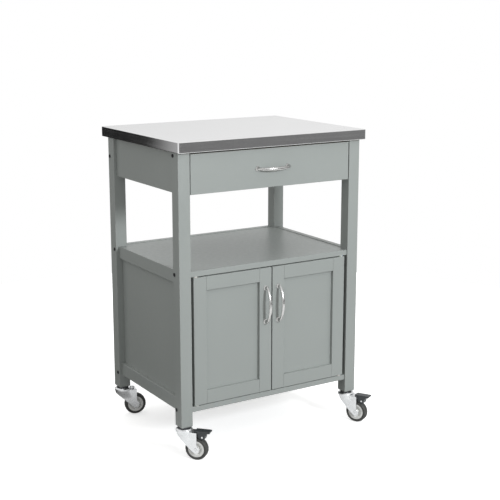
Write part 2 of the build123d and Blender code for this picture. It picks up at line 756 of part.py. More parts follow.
across = Plane(origin=(0, drawer_face, drawer_handle_z), x_dir=(-1, 0, 0), z_dir=(0, 0, 1))
nodes["drawer_handle"] = [across.location * bow_handle()]
nodes["drawer_screws"] = [
    handle_screw((side * handle_centres / 2, drawer_face - 6, drawer_handle_z), front_thickness + 6, 3.8)
    for side in (-1, 1)]

upright = Plane(origin=(door_handle_x, door_face, door_handle_mid), x_dir=(0, 0, 1), z_dir=(1, 0, 0))
door_handle = upright.location * bow_handle()
door_screws = [handle_screw((door_handle_x, door_face - 6, z), door_thickness + 6, 3.8)
               for z in door_handle_zs]
right_door = {"stiles": door_stiles(), "rails": door_rails(), "panel": [door_panel()],
              "handle": [door_handle], "pivots": door_pivots(), "fittings": door_screws + [door_strike()]}
for piece, solids in right_door.items():
    nodes["right_door_" + piece] = solids
    nodes["left_door_" + piece] = [mirrored(solid) for solid in solids]

fixed_stems, fixed_inserts = [], []
for name in caster_turn:
    braked = name.startswith("front")
    nodes[name + "_fork"] = [place_caster(caster_fork(braked), name)]
    nodes[name + "_axle"] = [place_caster(part, name) for part in caster_axle(braked)]
    nodes[name + "_tyre"] = [place_caster(caster_tyre(), name)]
    nodes[name + "_hub"] = [place_caster(caster_hub(), name)]
    if braked:
        nodes[name + "_brake_pedal"] = [place_caster(brake_pedal(), name)]
    fixed_stems.append(place_caster(caster_stem(), name))
    fixed_inserts.append(place_caster(stem_insert(), name))
nodes["caster_stems"] = fixed_stems
nodes["stem_inserts"] = fixed_inserts

os.makedirs("parts", exist_ok=True)
for name, pieces in nodes.items():
    solids = [solid for piece in pieces for solid in piece.solids()]
    export_step(solids[0] if len(solids) == 1 else Compound(children=solids), "parts/" + name + ".step")
print(len(nodes), "nodes")
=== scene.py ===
import json
from math import asin, cos, pi, radians, sin, sqrt

import bmesh
import bpy
from mathutils import Matrix, Vector


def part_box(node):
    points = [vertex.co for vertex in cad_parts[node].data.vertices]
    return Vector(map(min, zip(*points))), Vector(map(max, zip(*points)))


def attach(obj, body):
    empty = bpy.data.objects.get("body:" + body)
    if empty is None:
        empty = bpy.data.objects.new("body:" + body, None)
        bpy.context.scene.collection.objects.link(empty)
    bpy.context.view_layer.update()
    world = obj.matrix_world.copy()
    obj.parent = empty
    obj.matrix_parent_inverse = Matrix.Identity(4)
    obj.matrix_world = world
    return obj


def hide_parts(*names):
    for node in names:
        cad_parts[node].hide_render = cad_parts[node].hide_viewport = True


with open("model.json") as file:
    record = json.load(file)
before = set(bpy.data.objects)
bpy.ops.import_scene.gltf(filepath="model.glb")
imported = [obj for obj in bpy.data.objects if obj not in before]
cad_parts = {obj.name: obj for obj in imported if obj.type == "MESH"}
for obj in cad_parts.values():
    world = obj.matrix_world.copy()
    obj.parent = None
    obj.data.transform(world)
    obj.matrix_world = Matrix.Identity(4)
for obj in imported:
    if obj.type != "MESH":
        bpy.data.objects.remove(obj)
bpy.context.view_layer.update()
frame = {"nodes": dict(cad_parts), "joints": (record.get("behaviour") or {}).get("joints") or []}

nodes = frame["nodes"]
joints = {joint["name"]: joint for joint in frame["joints"]}
mm = 0.001


# ---- Painted frame ----
# The cabinet's boards, rails, legs, doors and drawer front are milled fibreboard and pine, sprayed with
# a satin grey-green lacquer. The film leaves a faint orange peel, its arrises carry a lighter painted
# highlight, and its tone drifts slightly from board to board.

def shader_group(name, inputs, outputs):
    """An empty node group with named sockets, given as (name, kind, default), and its two end nodes."""
    group = bpy.data.node_groups.new(name, "ShaderNodeTree")
    for label, kind, default in inputs:
        socket = group.interface.new_socket(name=label, in_out="INPUT", socket_type=kind)
        if default is not None:
            socket.default_value = default
    for label, kind in outputs:
        group.interface.new_socket(name=label, in_out="OUTPUT", socket_type=kind)
    return group, group.nodes.new("NodeGroupInput"), group.nodes.new("NodeGroupOutput")


def math_node(tree, operation, first, second=None):
    """A Math node fed by sockets or plain numbers; returns its output."""
    node = tree.nodes.new("ShaderNodeMath")
    node.operation = operation
    for slot, value in enumerate((first, second)):
        if value is None:
            continue
        if hasattr(value, "is_output"):
            tree.links.new(value, node.inputs[slot])
        else:
            node.inputs[slot].default_value = value
    return node.outputs[0]


def noise_node(tree, vector, scale, detail, roughness=0.5):
    """A Noise Texture on the given vector; scale may be a socket or a number."""
    node = tree.nodes.new("ShaderNodeTexNoise")
    tree.links.new(vector, node.inputs["Vector"])
    if hasattr(scale, "is_output"):
        tree.links.new(scale, node.inputs["Scale"])
    else:
        node.inputs["Scale"].default_value = scale
    node.inputs["Detail"].default_value = detail
    node.inputs["Roughness"].default_value = roughness
    return node.outputs["Fac"]


def map_range(tree, value, low, high, out_low, out_high):
    node = tree.nodes.new("ShaderNodeMapRange")
    tree.links.new(value, node.inputs["Value"])
    for label, number in (("From Min", low), ("From Max", high), ("To Min", out_low), ("To Max", out_high)):
        if hasattr(number, "is_output"):
            tree.links.new(number, node.inputs[label])
        else:
            node.inputs[label].default_value = number
    return node.outputs["Result"]


def mixed_colour(tree, factor, first, second):
    """A colour mix fed by a mask and by two colours or sockets."""
    node = tree.nodes.new("ShaderNodeMix")
    node.data_type = "RGBA"
    tree.links.new(factor, node.inputs["Factor"])
    for label, value in (("A", first), ("B", second)):
        socket = [s for s in node.inputs if s.name == label and s.type == "RGBA"][0]
        if hasattr(value, "is_output"):
            tree.links.new(value, socket)
        else:
            socket.default_value = value
    return [s for s in node.outputs if s.type == "RGBA"][0]


def build_surface_grain():
    """Fine pebbled height, a broad drift mask and a roughness mask, for any moulded or sprayed skin."""
    group, entry, end = shader_group(
        "Surface grain",
        [("Vector", "NodeSocketVector", None), ("Grain", "NodeSocketFloat", 700.0),
         ("Drift", "NodeSocketFloat", 4.0)],
        [("Height", "NodeSocketFloat"), ("Drift", "NodeSocketFloat"), ("Patch", "NodeSocketFloat")])
    vector, grain = entry.outputs["Vector"], entry.outputs["Grain"]
    fine = noise_node(group, vector, grain, 3.0, 0.55)
    broad = noise_node(group, vector, entry.outputs["Drift"], 2.0)
    patch = noise_node(group, vector, math_node(group, "MULTIPLY", grain, 0.12), 4.0, 0.6)
    group.links.new(fine, end.inputs["Height"])
    group.links.new(map_range(group, broad, 0.3, 0.7, 0.0, 1.0), end.inputs["Drift"])
    group.links.new(map_range(group, patch, 0.35, 0.65, 0.0, 1.0), end.inputs["Patch"])
    return group


def build_edge_mask():
    """A mask along the arrises: where a rounded-off normal leans away from the true one."""
    group, entry, end = shader_group(
        "Edge mask",
        [("Rounded", "NodeSocketVector", None), ("Reach", "NodeSocketFloat", 0.15)],
        [("Edge", "NodeSocketFloat")])
    true_normal = group.nodes.new("ShaderNodeNewGeometry").outputs["Normal"]
    lean = group.nodes.new("ShaderNodeVectorMath")
    lean.operation = "DOT_PRODUCT"
    group.links.new(entry.outputs["Rounded"], lean.inputs[0])
    group.links.new(true_normal, lean.inputs[1])
    away = math_node(group, "SUBTRACT", 1.0, lean.outputs["Value"])
    group.links.new(map_range(group, away, 0.0, entry.outputs["Reach"], 0.0, 1.0), end.inputs["Edge"])
    return group


surface_grain = build_surface_grain()
edge_mask = build_edge_mask()


def grey(value):
    return (value, value, value, 1.0)


def finish_material(name, colour, second, roughness, grain, drift, peel, arris=None, edge_colour=None,
                    **sockets):
    """A coated, moulded or plated skin: two drifting tones, patchy gloss, fine relief and softened arrises.
    roughness is (glossy, dull); peel is the relief's depth in metres; sockets are plain shader values."""
    material = bpy.data.materials.new(name)
    material.use_nodes = True
    tree = material.node_tree
    shader = tree.nodes["Principled BSDF"]
    for label, value in sockets.items():
        shader.inputs[label.replace("_", " ")].default_value = value
    place = tree.nodes.new("ShaderNodeTexCoord").outputs["Object"]
    skin = tree.nodes.new("ShaderNodeGroup")
    skin.node_tree = surface_grain
    tree.links.new(place, skin.inputs["Vector"])
    skin.inputs["Grain"].default_value = grain
    skin.inputs["Drift"].default_value = drift
    tone = mixed_colour(tree, skin.outputs["Drift"], colour, second)
    gloss = map_range(tree, skin.outputs["Patch"], 0.0, 1.0, *roughness)
    relief = tree.nodes.new("ShaderNodeBump")
    relief.inputs["Strength"].default_value = 1.0
    relief.inputs["Distance"].default_value = peel
    tree.links.new(skin.outputs["Height"], relief.inputs["Height"])
    if arris:
        rounded = tree.nodes.new("ShaderNodeBevel")
        rounded.samples = 4
        rounded.inputs["Radius"].default_value = arris
        tree.links.new(rounded.outputs["Normal"], relief.inputs["Normal"])
        # edge_colour tints the arrises by the edge mask; where it is lighter than the skin it is a painted
        # highlight.
        if edge_colour:
            edge = tree.nodes.new("ShaderNodeGroup")
            edge.node_tree = edge_mask
            tree.links.new(rounded.outputs["Normal"], edge.inputs["Rounded"])
            tone = mixed_colour(tree, edge.outputs["Edge"], tone, edge_colour)
    tree.links.new(tone, shader.inputs["Base Color"])
    tree.links.new(gloss, shader.inputs["Roughness"])
    tree.links.new(relief.outputs["Normal"], shader.inputs["Normal"])
    return material


# edge_colour paints a lighter tone along the lacquer's arrises: a painted highlight.
paint = finish_material("Grey-green lacquer", (0.292, 0.312, 0.301, 1), (0.308, 0.329, 0.317, 1),
                        roughness=(0.34, 0.44), grain=750.0, drift=3.5, peel=0.00004, arris=0.0009,
                        edge_colour=(0.36, 0.385, 0.37, 1))

painted_nodes = ["front_legs", "rear_legs", "side_aprons", "rear_apron", "top_stretchers", "shelf_board",
                 "cupboard_floor", "side_rails", "rear_rails", "side_panels", "back_panel", "drawer_front",
                 "drawer_sides", "drawer_back", "drawer_floor"]
for hand in ("left", "right"):
    painted_nodes += [f"{hand}_door_{piece}" for piece in ("stiles", "rails", "panel")]


def dress(names, material):
    """Gives CAD pieces their finish."""
    for name in names:
        for slot in nodes[name].material_slots:
            slot.material = material


dress(painted_nodes, paint)


# ---- Steel worktop ----
# Thin stainless sheet, folded down over a chipboard core and turned in underneath. It is brushed along
# each length of the top and its edges, with finer and coarser scratches crossing the soft sheen.

def end_face_mask(tree):
    """1 on faces that look left or right, and 0 on the others."""
    facing = tree.nodes.new("ShaderNodeSeparateXYZ")
    tree.links.new(tree.nodes.new("ShaderNodeNewGeometry").outputs["True Normal"], facing.inputs[0])
    return math_node(tree, "GREATER_THAN", math_node(tree, "ABSOLUTE", facing.outputs["X"]), 0.7)


def build_brushing():
    """Long scratches: along X on the top and the long edges, along Y on the end edges."""
    group, entry, end = shader_group(
        "Brushing",
        [("Vector", "NodeSocketVector", None), ("Fine", "NodeSocketFloat", 900.0),
         ("Along", "NodeSocketFloat", 5.0)],
        [("Height", "NodeSocketFloat"), ("Streak", "NodeSocketFloat")])
    where = group.nodes.new("ShaderNodeSeparateXYZ")
    group.links.new(entry.outputs["Vector"], where.inputs[0])
    end_face = end_face_mask(group)
    fine, along = entry.outputs["Fine"], entry.outputs["Along"]

    def stretched(coarse):
        scale = math_node(group, "MULTIPLY", fine, coarse)
        across = math_node(group, "SUBTRACT", scale, along)
        x_scale = math_node(group, "ADD", along, math_node(group, "MULTIPLY", across, end_face))
        y_scale = math_node(group, "SUBTRACT", scale, math_node(group, "MULTIPLY", across, end_face))
        gather = group.nodes.new("ShaderNodeCombineXYZ")
        for axis, factor in (("X", x_scale), ("Y", y_scale), ("Z", scale)):
            group.links.new(math_node(group, "MULTIPLY", where.outputs[axis], factor), gather.inputs[axis])
        return gather.outputs[0]

    scratches = noise_node(group, stretched(1.0), 1.0, 3.0, 0.7)
    bands = noise_node(group, stretched(0.22), 1.0, 3.0, 0.6)
    group.links.new(scratches, end.inputs["Height"])
    both = math_node(group, "MULTIPLY", math_node(group, "ADD", scratches, bands), 0.5)
    group.links.new(map_range(group, both, 0.35, 0.65, 0.0, 1.0), end.inputs["Streak"])
    return group


brushing = build_brushing()


def brushed_steel():
    """Bare metal whose reflections stay sharp along the scratches and smear out across them."""
    material = bpy.data.materials.new("Brushed stainless")
    material.use_nodes = True
    tree = material.node_tree
    shader = tree.nodes["Principled BSDF"]
    shader.inputs["Metallic"].default_value = 1.0
    place = tree.nodes.new("ShaderNodeTexCoord").outputs["Object"]
    brush = tree.nodes.new("ShaderNodeGroup")
    brush.node_tree = brushing
    tree.links.new(place, brush.inputs["Vector"])
    brush.inputs["Fine"].default_value = 1100.0
    brush.inputs["Along"].default_value = 4.0
    handling = tree.nodes.new("ShaderNodeGroup")
    handling.node_tree = surface_grain
    tree.links.new(place, handling.inputs["Vector"])
    handling.inputs["Grain"].default_value = 60.0
    handling.inputs["Drift"].default_value = 5.0
    tone = mixed_colour(tree, brush.outputs["Streak"], (0.70, 0.70, 0.702, 1), (0.80, 0.80, 0.803, 1))
    tree.links.new(tone, shader.inputs["Base Color"])
    streaky = map_range(tree, brush.outputs["Streak"], 0.0, 1.0, 0.07, 0.11)
    worn = math_node(tree, "ADD", streaky, map_range(tree, handling.outputs["Patch"], 0, 1, -0.01, 0.02))
    tree.links.new(worn, shader.inputs["Roughness"])
    rounded = tree.nodes.new("ShaderNodeBevel")
    rounded.samples = 4
    rounded.inputs["Radius"].default_value = 0.0008
    relief = tree.nodes.new("ShaderNodeBump")
    relief.inputs["Distance"].default_value = 0.000004
    tree.links.new(rounded.outputs["Normal"], relief.inputs["Normal"])
    tree.links.new(brush.outputs["Height"], relief.inputs["Height"])
    tree.links.new(relief.outputs["Normal"], shader.inputs["Normal"])
    end_face = end_face_mask(tree)
    lengthwise = tree.nodes.new("ShaderNodeCombineXYZ")
    tree.links.new(math_node(tree, "SUBTRACT", 1.0, end_face), lengthwise.inputs["X"])
    tree.links.new(end_face, lengthwise.inputs["Y"])
    across = tree.nodes.new("ShaderNodeVectorMath")
    across.operation = "CROSS_PRODUCT"
    tree.links.new(tree.nodes.new("ShaderNodeNewGeometry").outputs["Normal"], across.inputs[0])
    tree.links.new(lengthwise.outputs[0], across.inputs[1])
    tree.links.new(across.outputs[0], shader.inputs["Tangent"])
    shader.inputs["Anisotropic"].default_value = 0.95
    return material


chipboard = finish_material("Chipboard core", (0.30, 0.19, 0.10, 1), (0.46, 0.32, 0.19, 1),
                            roughness=(0.80, 0.95), grain=420.0, drift=260.0, peel=0.0004)
dress(["worktop_steel"], brushed_steel())
dress(["worktop_board"], chipboard)


# ---- Frame bolts and hidden fixings ----
# Black-oxided button-head bolts clamp the legs to the boards through barrel nuts. The nuts, screws,
# inserts, door pins and strike plates are bright zinc-plated steel.

# edge_colour gives the bolts lighter arrises: a painted highlight.
black_oxide = finish_material("Black oxide", (0.018, 0.018, 0.020, 1), (0.030, 0.029, 0.030, 1),
                              roughness=(0.30, 0.46), grain=1500.0, drift=90.0, peel=0.00002,
                              arris=0.0003, edge_colour=(0.12, 0.12, 0.12, 1), Metallic=0.6)
# edge_colour gives the plating brighter arrises: a painted highlight.
plated = finish_material("Bright plating", (0.52, 0.53, 0.55, 1), (0.64, 0.65, 0.66, 1),
                         roughness=(0.22, 0.36), grain=1300.0, drift=60.0, peel=0.00002, arris=0.0003,
                         edge_colour=(0.78, 0.78, 0.79, 1), Metallic=1.0)
dress(["frame_bolts"], black_oxide)
dress(["barrel_nuts", "cabinet_screws", "stem_inserts", "drawer_screws"], plated)
for hand in ("left", "right"):
    dress([f"{hand}_door_pivots", f"{hand}_door_fittings"], plated)


# ---- Drawer runners and cupboard fittings ----
# Rolled steel channels in baked cream-white enamel carry the drawer on nylon rollers. The door bushes
# and the magnetic catches are moulded from the same milky nylon.

enamel = finish_material("Baked enamel", (0.74, 0.73, 0.70, 1), (0.79, 0.78, 0.75, 1),
                         roughness=(0.24, 0.34), grain=600.0, drift=12.0, peel=0.00003, arris=0.0003,
                         edge_colour=(0.62, 0.62, 0.61, 1))
nylon = finish_material("Milky nylon", (0.70, 0.69, 0.65, 1), (0.77, 0.76, 0.72, 1),
                        roughness=(0.36, 0.48), grain=1800.0, drift=60.0, peel=0.00003, arris=0.0003,
                        Subsurface_Weight=0.1, Subsurface_Scale=0.002)
dress(["cabinet_runners", "drawer_runners"], enamel)
dress(["channel_rollers", "drawer_rollers", "pivot_bushes", "magnet_catches"], nylon)


# ---- Bow handles ----
# Die-cast zinc pulls, tumbled and plated in satin nickel: an arched bar, fullest in the middle and
# tapering to rounded ends, on two short flared feet held by screws from behind the front.

satin_nickel = finish_material("Satin nickel", (0.47, 0.468, 0.46, 1), (0.54, 0.538, 0.53, 1),
                               roughness=(0.22, 0.30), grain=2200.0, drift=50.0, peel=0.000012,
                               Metallic=1.0)


def keep_mesh(name, mesh, material, body, slot, *stands_for, crease=None):
    """Puts a finished mesh in the scene on its body, as the piece that stands for CAD nodes."""
    piece = bpy.data.objects.new(name, mesh)
    bpy.context.scene.collection.objects.link(piece)
    mesh.materials.clear()
    mesh.materials.append(material)
    mesh.polygons.foreach_set("use_smooth", [True] * len(mesh.polygons))
    if crease:
        mesh.set_sharp_from_angle(angle=radians(crease))
    mesh.update()
    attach(piece, body)
    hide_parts(*stands_for)


def baked(piece):
    """The plain mesh that an object's modifiers make of it; the object and its modifiers go."""
    bpy.context.view_layer.update()
    finished = piece.evaluated_get(bpy.context.evaluated_depsgraph_get())
    mesh = bpy.data.meshes.new_from_object(finished)
    bpy.data.objects.remove(piece)
    return mesh


def ring_skin(work, rings):
    """Faces between rings of points, fanned shut at both ends."""
    rows = [[work.verts.new(point) for point in ring] for ring in rings]
    count = len(rows[0])
    for row, after in zip(rows, rows[1:]):
        for i in range(count):
            work.faces.new((row[i], row[(i + 1) % count], after[(i + 1) % count], after[i]))
    for row in (rows[0], rows[-1]):
        middle = work.verts.new(sum((v.co for v in row), Vector()) / count)
        for i in range(count):
            work.faces.new((row[i], row[(i + 1) % count], middle))


def turned(work, profile, sides, place):
    """A lathe shape: profile is (radius, height) in mm from end to end, spun about place's own Z."""
    rings = []
    for radius, height in profile:
        rings.append([place @ Vector((radius * mm * cos(2 * pi * i / sides),
                                      radius * mm * sin(2 * pi * i / sides), height * mm))
                      for i in range(sides)])
    ring_skin(work, rings)


handle_centres = 96 * mm
handle_reach = 29.5 * mm
bar_half = 55.5 * mm
bar_drop = 21.5 * mm
bar_width = 9.2 * mm
bar_depth = 6.4 * mm
bar_taper = 0.30
tip_bluntness = 9
bar_steps, bar_sides, foot_sides = 56, 28, 32
foot_profile = [(7.0, 0.0), (7.4, 0.4), (7.4, 1.2), (6.6, 1.9), (5.3, 2.9), (4.5, 4.4), (4.1, 7.0),
                (3.6, 10.6)]
casting_voxel = 0.42 * mm
tumbling_passes = 9


def bow_handle(name, centre, along, body, node):
    """One pull, built about its middle on the face of the board: along is its length, -Y its reach."""
    out = Vector((0, -1, 0))
    side = along.cross(out)
    place = Matrix((along, side, out)).transposed().to_4x4()
    place.translation = centre
    work = bmesh.new()
    curve = (bar_half ** 2 + bar_drop ** 2) / (2 * bar_drop)
    sweep = asin(bar_half / curve)
    crest = handle_reach - bar_depth / 2
    rings = []
    for step in range(bar_steps + 1):
        t = -1 + 2 * step / bar_steps
        angle = sweep * t
        fullness = (1 - bar_taper * t * t) * sqrt(max(1 - abs(t) ** tip_bluntness, 0.012))
        middle = Vector((curve * sin(angle), 0, crest - curve * (1 - cos(angle))))
        lift = Vector((sin(angle), 0, cos(angle)))
        ring = []
        for i in range(bar_sides):
            turn = 2 * pi * i / bar_sides
            ring.append(place @ (middle + Vector((0, 1, 0)) * (bar_width / 2 * fullness * cos(turn))
                                 + lift * (bar_depth / 2 * fullness * sin(turn))))
        rings.append(ring)
    ring_skin(work, rings)
    for way in (-1, 1):
        turned(work, foot_profile, foot_sides, place @ Matrix.Translation((way * handle_centres / 2, 0, 0)))
    bmesh.ops.recalc_face_normals(work, faces=work.faces)
    rough = bpy.data.meshes.new(name)
    work.to_mesh(rough)
    work.free()
    casting = bpy.data.objects.new(name + "_casting", rough)
    bpy.context.scene.collection.objects.link(casting)
    skin = casting.modifiers.new("Cast skin", "REMESH")
    skin.mode, skin.voxel_size = "VOXEL", casting_voxel
    tumbled = casting.modifiers.new("Tumbled", "SMOOTH")
    tumbled.factor, tumbled.iterations = 0.5, tumbling_passes
    keep_mesh(name, baked(casting), satin_nickel, body, "nickel", node)


drawer_low, drawer_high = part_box("drawer_front")
drawer_middle = Vector((0, drawer_low.y, (drawer_low.z + drawer_high.z) / 2))
bow_handle("drawer_pull", drawer_middle, Vector((1, 0, 0)), "drawer", "drawer_handle")
for hand in ("left", "right"):
    foot_low, foot_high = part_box(f"{hand}_door_handle")
    door_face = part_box(f"{hand}_door_stiles")[0].y
    spot = Vector(((foot_low.x + foot_high.x) / 2, door_face, (foot_low.z + foot_high.z) / 2))
    bow_handle(f"{hand}_door_pull", spot, Vector((0, 0, 1)), f"{hand}_door", f"{hand}_door_handle")


# ---- Caster forks, stems and axles ----
# Each fork is stamped from zinc-plated sheet: a drawn dome over the bearing, and two arms that bend in at
# the front and end in a round eye for the wheel's rivet. The stem's collar bears on the leg; its near-black
# colour is painted shade for the shadow gap under the leg foot.

zinc = finish_material("Zinc plate", (0.66, 0.67, 0.68, 1), (0.72, 0.73, 0.74, 1),
                       roughness=(0.24, 0.28), grain=900.0, drift=60.0, peel=0.000006, Metallic=1.0)
# edge_colour gives the rivets brighter arrises: a painted highlight.
zinc_turned = finish_material("Zinc rivet", (0.62, 0.63, 0.64, 1), (0.74, 0.75, 0.76, 1),
                              roughness=(0.20, 0.32), grain=1500.0, drift=120.0, peel=0.00002,
                              arris=0.0004, edge_colour=(0.85, 0.85, 0.86, 1), Metallic=1.0)
caster_names = ("front_left", "front_right", "rear_left", "rear_right")


def caster_place(name):
    """The caster's own frame: X trails back to the wheel, Y is the wheel's axis, Z is up from the floor."""
    across = Vector(joints[name + "_wheel_spin"]["axis"])
    stem = joints[name + "_swivel"]["pos_m"]
    place = Matrix((Vector((across.y, -across.x, 0)), across, Vector((0, 0, 1)))).transposed().to_4x4()
    place.translation = (stem[0], stem[1], 0)
    return place


def pressed_copy(node, place, voxel, passes, keep, extra):
    """A CAD piece with an even skin and softened arrises, as pressing or moulding leaves them. extra adds
    closed shapes to it first, in the caster's own frame; keep is the share of facets that stays."""
    both = bmesh.new()
    both.from_mesh(nodes[node].data)
    bmesh.ops.remove_doubles(both, verts=both.verts, dist=0.001 * mm)
    bmesh.ops.transform(both, matrix=place.inverted(), verts=both.verts)
    extra(both)
    mesh = bpy.data.meshes.new(node + "_blank")
    both.to_mesh(mesh)
    both.free()
    blank = bpy.data.objects.new(node + "_blank", mesh)
    bpy.context.scene.collection.objects.link(blank)
    skin = blank.modifiers.new("Even skin", "REMESH")
    skin.mode, skin.voxel_size = "VOXEL", voxel
    soft = blank.modifiers.new("Softened arrises", "SMOOTH")
    soft.factor, soft.iterations = 0.5, passes
    thin = blank.modifiers.new("Fewer facets", "DECIMATE")
    thin.ratio = keep
    mesh = baked(blank)
    mesh.transform(place)
    return mesh


dome_rim = 23.5 * mm
fork_half = 15.0 * mm
fork_front = -21.5 * mm
fork_bend = 17.0 * mm
sheet = 2.2 * mm
skirt_top = 84.0 * mm
skirt_front_low = 70.0 * mm
skirt_lowest = 52.0 * mm
front_fall = 0.886
skirt_gap = 42
skirt_columns, skirt_rows = 60, 16
bow_from, bow_share = 0.13, 0.74
arm_from, arm_lean = 6 * mm, 8 * mm
thickness_centre = Vector((4 * mm, 0, 0))


def skirt_foot(share, rim):
    """Where the skirt's column ends in plan: on the bow of the fork's front, or on the straight arm."""
    if rim.x > arm_from:
        return Vector((rim.x + arm_lean, fork_half * (1 if rim.y > 0 else -1), 0))
    bow = radians(-90 - 180 * min(max((share - bow_from) / bow_share, 0), 1))
    return Vector((fork_bend + (fork_bend - fork_front) * cos(bow), fork_half * sin(bow), 0))


def drawn_shoulder(work):
    """The deep-drawn skirt between the round dome and the fork's narrower arms, as a shell of sheet."""
    outer, inner = [], []
    for i in range(skirt_columns + 1):
        share = i / skirt_columns
        around = radians(-skirt_gap - (360 - 2 * skirt_gap) * share)
        rim = Vector((dome_rim * cos(around), dome_rim * sin(around), 0))
        foot = skirt_foot(share, rim)
        low = max(skirt_front_low - front_fall * (foot.x - fork_front), skirt_lowest)
        column = []
        for k in range(skirt_rows + 1):
            drop = k / skirt_rows
            point = rim.lerp(foot, drop * drop * (3 - 2 * drop))
            point.z = skirt_top + (low - skirt_top) * drop
            column.append(point)
        outer.append(column)
        inner.append([p - (Vector((p.x, p.y, 0)) - thickness_centre).normalized() * sheet for p in column])
    outer = [[work.verts.new(p) for p in column] for column in outer]
    inner = [[work.verts.new(p) for p in column] for column in inner]
    skirt = []
    for skin in (outer, inner):
        for left, right in zip(skin, skin[1:]):
            for k in range(skirt_rows):
                skirt.append(work.faces.new((left[k], left[k + 1], right[k + 1], right[k])))
    for end in (0, -1):
        for k in range(skirt_rows):
            skirt.append(work.faces.new((outer[end][k], outer[end][k + 1], inner[end][k + 1], inner[end][k])))
        for i in range(skirt_columns):
            skirt.append(work.faces.new((outer[i][end], outer[i + 1][end], inner[i + 1][end], inner[i][end])))
    bmesh.ops.recalc_face_normals(work, faces=skirt)


fork_voxel, fork_passes, fork_facets = 0.45 * mm, 11, 0.4
for name in caster_names:
    mesh = pressed_copy(name + "_fork", caster_place(name), fork_voxel, fork_passes, fork_facets,
                        drawn_shoulder)
    keep_mesh(name + "_pressed_fork", mesh, zinc, name + "_caster", "zinc", name + "_fork")
    dress([name + "_axle"], zinc_turned)

# The stems' collars are painted near-black: painted shade standing in for the shadow gap under each leg foot.
painted_shade_stem_steel = finish_material("Stem steel darkened as painted shade", (0.045, 0.046, 0.05, 1), (0.07, 0.071, 0.075, 1),
                              roughness=(0.30, 0.42), grain=1200.0, drift=90.0, peel=0.00002,
                              Metallic=0.8)
dress(["caster_stems"], painted_shade_stem_steel)


# ---- Wheels ----
# A light grey moulded centre with a raised ring and a sunk web turns on the rivet. A dark rubber tyre
# is moulded round it, with rows of small diamond lugs across the tread.

rubber = finish_material("Tyre rubber", (0.040, 0.040, 0.038, 1), (0.056, 0.055, 0.052, 1),
                         roughness=(0.50, 0.68), grain=900.0, drift=120.0, peel=0.00006)
ring_plastic = finish_material("Pale wheel moulding", (0.84, 0.84, 0.82, 1), (0.88, 0.88, 0.86, 1),
                               roughness=(0.34, 0.46), grain=1400.0, drift=80.0, peel=0.00003)

wheel_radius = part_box("front_left_tyre")[1].z / 2
lug_height = 0.5 * mm
tread_radius = wheel_radius - lug_height
wheel_half = 10.5 * mm
ring_outer = 23.3 * mm
ring_inner = 16.5 * mm
shoulder = 4.5 * mm
ring_face = wheel_half - 0.8 * mm
web_face = wheel_half - 5.2 * mm
boss_face = 12.0 * mm
boss_r = 7.4 * mm
bore_r = 3.1 * mm
round_off = 0.8 * mm
tyre_sides, hub_sides = 128, 96


